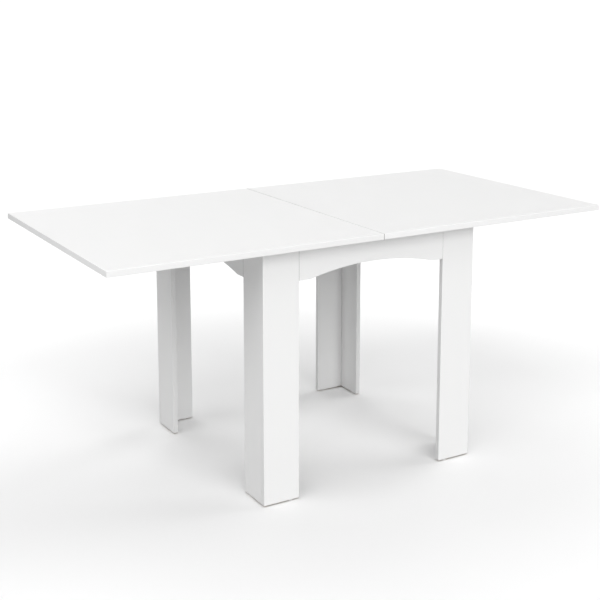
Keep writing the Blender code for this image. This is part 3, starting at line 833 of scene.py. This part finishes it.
def setFittings(name, shape, places, finish, spin=0.0, seed=1):
    # places are (point, turn matrix) pairs; the result is one plain mesh
    master = bpy.data.objects.new(name + "_master", plainMesh(name, shape, roundAngle))
    points = bpy.data.meshes.new(name)
    points.from_pydata([tuple(point) for point, _ in places], [], [])
    turns = points.attributes.new("turn", "FLOAT_VECTOR", "POINT")
    for row, (_, turn) in zip(turns.data, places):
        row.vector = turn.to_euler()
    piece = newPiece(name, points, [])
    modifier = piece.modifiers.new("setFittings", "NODES")
    modifier.node_group = scatterTree
    values = {"Fitting": master, "Size": 1.0, "Spin": spin, "Spin Seed": seed, "Finish": finish}
    for label, value in values.items():
        modifier[scatterInputs[label]] = value
    evaluated = piece.evaluated_get(bpy.context.evaluated_depsgraph_get())
    mesh = bpy.data.meshes.new_from_object(evaluated)
    mesh.name = name
    piece.modifiers.clear()
    piece.data = mesh
    bpy.data.objects.remove(master)
    return piece


def facing(normal, side=None):
    # Turns a fitting's +Z to the normal and, where it matters, its +Y to the side
    up = Vector(normal)
    along = Vector(side) if side else up.orthogonal().normalized()
    return Matrix((along.cross(up), along, up)).transposed()


capLook = {
    "radius": 0.0065,
    "height": 0.0012,
    "rim": 0.0004,
    "fromEnd": 0.024,
    "heights": (0.022, 0.070),
    "sides": 40,
    # the crown's points, as shares of the radius and height
    "crown": ((0.8, 0.8), (0.45, 0.96)),
    "rimHeights": (0.3, 0.55),
}


def buildCoverCaps():
    # Push-in caps over the cam fittings, near each end of the aprons' inner faces
    radius, height, rim = capLook["radius"], capLook["height"], capLook["rim"]
    lip, shoulder = (share * height for share in capLook["rimHeights"])
    crown = [(radius * out, height * up) for out, up in capLook["crown"]]
    profile = [(0.0, 0.0), (radius, 0.0), (radius, lip), (radius - rim, shoulder), *crown, (0.0, height)]
    places = []
    for name, inward in (
        ("front", (0, 1, 0)), ("rear", (0, -1, 0)), ("left", (1, 0, 0)), ("right", (-1, 0, 0)),
    ):
        low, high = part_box("apron_" + name)
        normal = Vector(inward)
        along = Vector((abs(normal.y), abs(normal.x), 0))
        inner = (low + high) / 2 + normal * (high - low).dot(Vector(map(abs, normal))) / 2
        reach = (high - low).dot(along) / 2 - capLook["fromEnd"]
        for side in (-1, 1):
            for up in capLook["heights"]:
                point = inner + along * side * reach
                point.z = low.z + up
                places.append((point, facing(normal)))
    shape = latheShape(profile, capLook["sides"])
    piece = setFittings("cover_caps", shape, places, capPlastic, spin=math.tau, seed=3)
    placeInBody(piece, "base", "white_nylon")


bracketLook = {
    "leg": 0.016,
    "width": 0.012,
    "thickness": 0.0015,
    "bend": 0.0015,
    "bendSteps": 6,
    "corner": 0.003,  # radius at the ends of the strip
    "cornerSteps": 5,
    "hole": 0.0103,  # from the bend to each screw
    "fromCorner": 0.028,
}


def bracketShape():
    # An L bent from strip: its backs lie on y = 0 and z = 0
    leg, thick, bend = (bracketLook[key] for key in ("leg", "thickness", "bend"))
    half, steps = bracketLook["width"] / 2, bracketLook["bendSteps"]
    outer = arcPoints(bend, bend, bend, math.pi, 1.5 * math.pi, steps)
    inner = arcPoints(thick + bend, thick + bend, bend, 1.5 * math.pi, math.pi, steps)
    outline = [(0.0, leg), *outer, (leg, 0.0), (leg, thick), *inner, (thick, leg)]
    shape = extruded([(-half, y, z) for y, z in outline], (2 * half, 0, 0))
    # The four short edges through the strip at its two ends
    corners = []
    for edge in shape.edges:
        first, second = (vert.co for vert in edge.verts)
        atEnd = min(max(first.y, first.z), max(second.y, second.z)) > leg - thick / 4
        level = abs(first.x - second.x) < half
        if atEnd and level:
            corners.append(edge)
    bmesh.ops.bevel(
        shape, geom=corners, offset=bracketLook["corner"], segments=bracketLook["cornerSteps"],
        profile=0.5, affect="EDGES",
    )
    return shape


def screwShape(dome=True):
    # A pan or flat head with a cross recess, seated on z = 0
    head, height = screwLook["head"], screwLook["dome"] * (1 if dome else screwLook["flat"])
    rim, taper = screwLook["rim"], screwLook["recessTaper"]
    crown = [
        (head * math.cos(angle), height * (rim + (1 - rim) * math.sin(angle)))
        for angle in screwLook["crownAngles"]
    ]
    profile = [(0.0, 0.0), (head * screwLook["seat"], 0.0), *crown, (0.0, height)]
    screw = newPiece("screw", plainMesh("screw", latheShape(profile, screwLook["sides"]), roundAngle), [])
    reach, width = screwLook["slotReach"], screwLook["slotWidth"]
    cutters = []
    for across, along in ((width, reach * 2), (reach * 2, width)):
        block = bmesh.new()
        bmesh.ops.create_cube(block, size=1.0)
        bmesh.ops.scale(block, verts=block.verts, vec=(across, along, height * 1.2))
        for vert in block.verts:
            if vert.co.z < 0:
                vert.co.x *= taper
                vert.co.y *= taper
        bmesh.ops.translate(block, verts=block.verts, vec=(0, 0, height * 0.95))
        cutters.append(plainMesh("recess", block, roundAngle))
    cutFrom(screw, cutters)
    shape = bmesh.new()
    shape.from_mesh(screw.data)
    bpy.data.objects.remove(screw)
    return shape


def bracketPlaces():
    # (corner point, wall normal, floor normal) for each bracket
    found = []
    for endName, end in (("front", -1), ("rear", 1)):
        for sideName, side in (("left", -1), ("right", 1)):
            low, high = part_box(f"corner_plate_{endName}_{sideName}")
            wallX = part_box(f"leg_{endName}_{sideName}_side")[0 if side > 0 else 1].x
            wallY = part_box(f"leg_{endName}_{sideName}_face")[0 if end > 0 else 1].y
            away = bracketLook["fromCorner"]
            found.append(((wallX - side * away, wallY, low.z), (0, -end, 0), (0, 0, -1)))
            found.append(((wallX, wallY - end * away, low.z), (-side, 0, 0), (0, 0, -1)))
        for rail, railSide in (("pivot_rail_left", -1), ("pivot_rail_right", 1), ("stretcher_rail", 1)):
            low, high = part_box(rail)
            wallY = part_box(f"apron_{endName}")[0 if end > 0 else 1].y
            point = (high.x if railSide > 0 else low.x, wallY, (low.z + high.z) / 2)
            found.append((point, (0, -end, 0), (railSide, 0, 0)))
    return found


def buildBrackets():
    brackets, screws = [], []
    out, lift = bracketLook["hole"], bracketLook["thickness"]
    for point, wall, floor in bracketPlaces():
        point, wall, floor = Vector(point), Vector(wall), Vector(floor)
        brackets.append((point, facing(floor, wall)))
        screws.append((point + wall * out + floor * lift, facing(floor)))
        screws.append((point + floor * out + wall * lift, facing(wall)))
    piece = setFittings("angle_brackets", bracketShape(), brackets, zincPlate)
    placeInBody(piece, "base", "zinc_plated_steel")
    piece = setFittings("bracket_screws", screwShape(), screws, zincPlate, spin=math.tau, seed=11)
    placeInBody(piece, "base", "zinc_plated_steel")


boardScrewLook = {"fromEdge": 0.012}


def buildBoardScrews():
    # Four flat-headed screws hold the pivot board to its two rails
    low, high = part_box("pivot_board")
    places = []
    for rail in ("pivot_rail_left", "pivot_rail_right"):
        for y in (low.y + boardScrewLook["fromEdge"], high.y - boardScrewLook["fromEdge"]):
            places.append((Vector((middleOf(rail).x, y, high.z)), facing((0, 0, 1))))
    shape = screwShape(dome=False)
    piece = setFittings("board_screws", shape, places, zincPlate, spin=math.tau, seed=5)
    placeInBody(piece, "base", "zinc_plated_steel")


glideLook = {"head": 0.003, "stem": 0.0025, "corner": 0.0009, "sides": 40}
buttonLook = {"corner": 0.0005, "sides": 48}


def standingAt(nodes, bottom):
    return [(Vector((middleOf(node).x, middleOf(node).y, bottom)), facing((0, 0, 1))) for node in nodes]


def buildFootGlides():
    nodes = sorted(node for node in frame["nodes"] if node.startswith("glide_") and "button" not in node)
    low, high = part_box(nodes[0])
    head, stem, corner = glideLook["head"], glideLook["stem"], glideLook["corner"]
    radius, height = (high.x - low.x) / 2, high.z - low.z
    foot = arcPoints(radius - corner, corner, corner, -math.pi / 2, 0.0, 5)
    profile = [(0.0, 0.0), *foot, (radius, head), (stem, head), (stem, height), (0.0, height)]
    shape, places = latheShape(profile, glideLook["sides"]), standingAt(nodes, low.z)
    piece = setFittings("foot_glides", shape, places, whiteNylon, spin=math.tau, seed=7)
    placeInBody(piece, "base", "white_nylon", *nodes)


def buildGlideButtons():
    nodes = sorted(node for node in frame["nodes"] if node.startswith("glide_button"))
    low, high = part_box(nodes[0])
    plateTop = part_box("corner_plate_front_left")[1].z + fitGap
    radius, top = (high.x - low.x) / 2, high.z - low.z
    seat, stem, corner = plateTop - low.z, glideLook["stem"], buttonLook["corner"]
    crown = arcPoints(radius - corner, top - corner, corner, 0.0, math.pi / 2, 5)
    profile = [(0.0, 0.0), (stem, 0.0), (stem, seat), (radius, seat), *crown, (0.0, top)]
    shape, places = latheShape(profile, buttonLook["sides"]), standingAt(nodes, low.z)
    piece = setFittings("glide_buttons", shape, places, whiteNylon, spin=math.tau, seed=9)
    placeInBody(piece, "base", "white_nylon", *nodes)


swivelLook = {
    "shank": 0.005,
    "pitch": 0.0015,
    "threadDepth": 0.00055,
    "chamfer": 0.0007,
    "sides": 36,
    "rowsPerTurn": 8,
    "nutSides": 64,
    "nutFlat": 0.87,  # the nut's flats, as a share of the way to its corners
    "creaseAngle": 25,
}


def circlePoints(radius, height, sides):
    return [
        (radius * math.cos(math.tau * side / sides), radius * math.sin(math.tau * side / sides), height)
        for side in range(sides)
    ]


def threadRow(height, depth):
    # One turn of points round the shank, which the thread's groove dips under as it climbs
    sides, pitch, radius = swivelLook["sides"], swivelLook["pitch"], swivelLook["shank"]
    ring = []
    for side in range(sides):
        angle = math.tau * side / sides
        phase = (height / pitch - side / sides) % 1.0
        groove = radius - depth * abs(1 - 2 * phase)
        ring.append((groove * math.cos(angle), groove * math.sin(angle), height))
    return ring


def threadedBolt(bottom, threadTop, seat, headTop, headRadius):
    # A shank with a true helical thread on its lower end, and a round head let into the leaf
    sides, perTurn, bevel = swivelLook["sides"], swivelLook["rowsPerTurn"], swivelLook["chamfer"]
    rows = round((threadTop - bottom) / swivelLook["pitch"] * perTurn)
    loops = []
    for row in range(rows + 1):
        height = bottom + (threadTop - bottom) * row / rows
        runOut = min(1.0, (row + 2) / perTurn, (rows - row) / perTurn)
        loops.append(threadRow(height, swivelLook["threadDepth"] * runOut))
    for radius, height in (
        (swivelLook["shank"], seat), (headRadius - bevel / 2, seat), (headRadius, seat + bevel / 2),
        (headRadius, headTop - bevel), (headRadius - bevel, headTop),
    ):
        loops.append(circlePoints(radius, height, sides))
    shape = bmesh.new()
    rings = [[shape.verts.new(point) for point in loop] for loop in loops]
    for here, there in zip(rings, rings[1:]):
        for side in range(sides):
            after = (side + 1) % sides
            shape.faces.new((here[side], here[after], there[after], there[side]))
    shape.faces.new(list(reversed(rings[0])))
    shape.faces.new(rings[-1])
    bmesh.ops.recalc_face_normals(shape, faces=shape.faces)
    return shape


def buildSwivelBolt():
    low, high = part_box("swivel_bolt")
    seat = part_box("main_leaf")[0].z
    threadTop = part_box("swivel_nut")[1].z
    shape = threadedBolt(low.z, threadTop, seat, high.z, (high.x - low.x) / 2)
    bmesh.ops.translate(shape, verts=shape.verts, vec=(swivelCenter.x, swivelCenter.y, 0))
    mesh = plainMesh("swivel_bolt", shape, swivelLook["creaseAngle"])
    piece = newPiece("swivel_bolt_threaded", mesh, [zincPlate])
    placeInBody(piece, "main_leaf", "zinc_plated_steel", "swivel_bolt")


def buildSwivelNut():
    # A hexagon whose corners are turned off, bored for the bolt
    low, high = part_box("swivel_nut")
    corner, height, bevel = (high.x - low.x) / 2, high.z - low.z, swivelLook["chamfer"]
    hexagon = bmesh.new()
    bmesh.ops.create_cone(
        hexagon, cap_ends=True, segments=6, radius1=corner, radius2=corner, depth=height
    )
    bmesh.ops.rotate(hexagon, verts=hexagon.verts, matrix=Matrix.Rotation(math.pi / 6, 3, "Z"))
    middle = Vector((swivelCenter.x, swivelCenter.y, (low.z + high.z) / 2))
    bmesh.ops.translate(hexagon, verts=hexagon.verts, vec=middle)
    mesh = plainMesh("swivel_nut", hexagon, swivelLook["creaseAngle"])
    piece = newPiece("swivel_nut_hexagon", mesh, [zincPlate])
    # The turned shape just clears the corners at mid height
    edge, flat = corner * 1.001, corner * swivelLook["nutFlat"]
    turned = latheShape([
        (0.0, -height), (flat, -height), (flat, -height / 2), (edge, bevel - height / 2),
        (edge, height / 2 - bevel), (flat, height / 2), (flat, height), (0.0, height),
    ], swivelLook["nutSides"])
    bmesh.ops.translate(turned, verts=turned.verts, vec=middle)
    bore = uprightRod(
        "bore", middle.x, middle.y, low.z - cutOver, high.z + cutOver, swivelLook["shank"] + fitGap
    )
    cutFrom(piece, [plainMesh("turned", turned, swivelLook["creaseAngle"])], "INTERSECT")
    cutFrom(piece, [bore])
    placeInBody(piece, "main_leaf", "zinc_plated_steel", "swivel_nut")


plateScrewLook = {"point": 0.002, "intoHead": 0.0002, "sides": 20}


def buildPlateScrews():
    # Pan heads below the swivel plate, each with its shank up into the leaf
    low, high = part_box(plateScrews[0])
    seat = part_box("swivel_plate")[0].z - fitGap
    shape = screwShape()
    bmesh.ops.scale(shape, verts=shape.verts, vec=(1, 1, (seat - low.z) / screwLook["dome"]))
    radius, tip, root = screwLook["shank"], high.z - seat, plateScrewLook["intoHead"]
    profile = [(0.0, -tip), (radius, plateScrewLook["point"] - tip), (radius, root), (0.0, root)]
    shank = latheShape(profile, plateScrewLook["sides"])
    shape.from_mesh(plainMesh("shank", shank, roundAngle))
    places = []
    for node in plateScrews:
        middle = middleOf(node)
        places.append((Vector((middle.x, middle.y, seat)), facing((0, 0, -1))))
    piece = setFittings("plate_screws", shape, places, zincPlate, spin=math.tau, seed=13)
    placeInBody(piece, "main_leaf", "zinc_plated_steel", *plateScrews)


buildCoverCaps()
buildBrackets()
buildSwivelBolt()
buildSwivelNut()
buildPlateScrews()
buildBoardScrews()
buildFootGlides()
buildGlideButtons()
print("fittings built")


# Fittings kept from the frame get their finish

def finishFor(node):
    if node == "slip_washer":
        return whiteNylon
    if "barrel" in node:
        return castZinc
    return zincPlate


for node, part in frame["nodes"].items():
    if node.startswith(("slip_", "lock_", "swivel_", "stop_", "hinge_")):
        part.data.materials.clear()
        part.data.materials.append(finishFor(node))
print("fittings finished")


# Studio

studio = {
    "floorSize": 240.0,
    "floorDrop": 0.0002,  # keeps it just clear of the glides
    # the floor's colour is darker near the table as painted shade round it, and plain white farther out
    "floorShadedNear": (0.87, 0.87, 0.87, 1),
    "floorFar": (1.0, 1.0, 1.0, 1),
    "fadeFrom": 0.6,  # metres from the table's middle
    "fadeTo": 1.6,
    "bounce": (0.48, 0.48, 0.48, 1),  # what the floor sends back up under the table
    "ambient": 0.18,
    "backdrop": 1.0,
    "suns": {  # degrees from +X towards +Y, height and width in degrees, strength
        "frontLow": (-90, 25, 42, 1.62),
        "frontLeft": (-135, 45, 40, 0.94),
        "left": (180, 30, 40, 0.79),
        "right": (0, 40, 40, 1.13),
        "rear": (90, 45, 50, 0.85),
    },
}


def buildFloor():
    shape = bmesh.new()
    bmesh.ops.create_grid(shape, x_segments=1, y_segments=1, size=studio["floorSize"] / 2)
    bmesh.ops.translate(shape, verts=shape.verts, vec=(0, 0, -studio["floorDrop"]))
    floor = newPiece("floor", plainMesh("floor", shape, roundAngle), [])
    material, tree, shader = newMaterial("floorPaint")
    place = addNode(tree, "ShaderNodeTexCoord").outputs["Object"]
    away = addNode(tree, "ShaderNodeVectorMath", {0: place}, operation="LENGTH").outputs["Value"]
    # Painted shade: the floor seen by the camera darkens towards the table's middle, inside fadeFrom, and
    # is plain white beyond fadeTo
    fade = remap(tree, away, studio["fadeFrom"], studio["fadeTo"], 0.0, 1.0)
    mottle = remap(tree, noise(tree, place, 1.2, 3.0), 0.3, 0.7, 0.995, 1.0)
    faded = mixColors(tree, fade, studio["floorShadedNear"], studio["floorFar"])
    shown = scaleColor(tree, faded, mottle)
    seen = addNode(tree, "ShaderNodeLightPath").outputs["Is Camera Ray"]
    tree.links.new(mixColors(tree, seen, studio["bounce"], shown), shader.inputs["Base Color"])
    shader.inputs["Roughness"].default_value = 0.7
    shader.inputs["Specular IOR Level"].default_value = 0.2
    # Seen from below the floor is clear, so that the underside of the table shows
    below = addNode(tree, "ShaderNodeNewGeometry").outputs["Backfacing"]
    clear = addNode(tree, "ShaderNodeBsdfTransparent")
    mixed = addNode(tree, "ShaderNodeMixShader", {0: below, 1: shader.outputs[0], 2: clear.outputs[0]})
    tree.links.new(mixed.outputs[0], tree.nodes["Material Output"].inputs["Surface"])
    floor.data.materials.append(material)


def buildWorld():
    world = bpy.data.worlds.new("studio")
    scene.world = world
    world.use_nodes = True
    tree = world.node_tree
    tree.nodes.clear()
    soft = addNode(tree, "ShaderNodeBackground", {"Color": (1, 1, 1, 1), "Strength": studio["ambient"]})
    behind = addNode(tree, "ShaderNodeBackground", {"Color": (1, 1, 1, 1), "Strength": studio["backdrop"]})
    seen = addNode(tree, "ShaderNodeLightPath").outputs["Is Camera Ray"]
    mixed = addNode(tree, "ShaderNodeMixShader", {0: seen, 1: soft.outputs[0], 2: behind.outputs[0]})
    addNode(tree, "ShaderNodeOutputWorld", {"Surface": mixed.outputs[0]})


def addSun(name, heading, height, width, strength):
    light = bpy.data.lights.new(name, "SUN")
    light.energy = strength
    light.angle = math.radians(width)
    lamp = bpy.data.objects.new(name, light)
    scene.collection.objects.link(lamp)
    lamp.rotation_euler = (math.radians(90 - height), 0, math.radians(90 + heading))


buildFloor()
buildWorld()
for name, settings in studio["suns"].items():
    addSun(name, *settings)
scene.view_settings.view_transform = "Standard"
print("studio built")
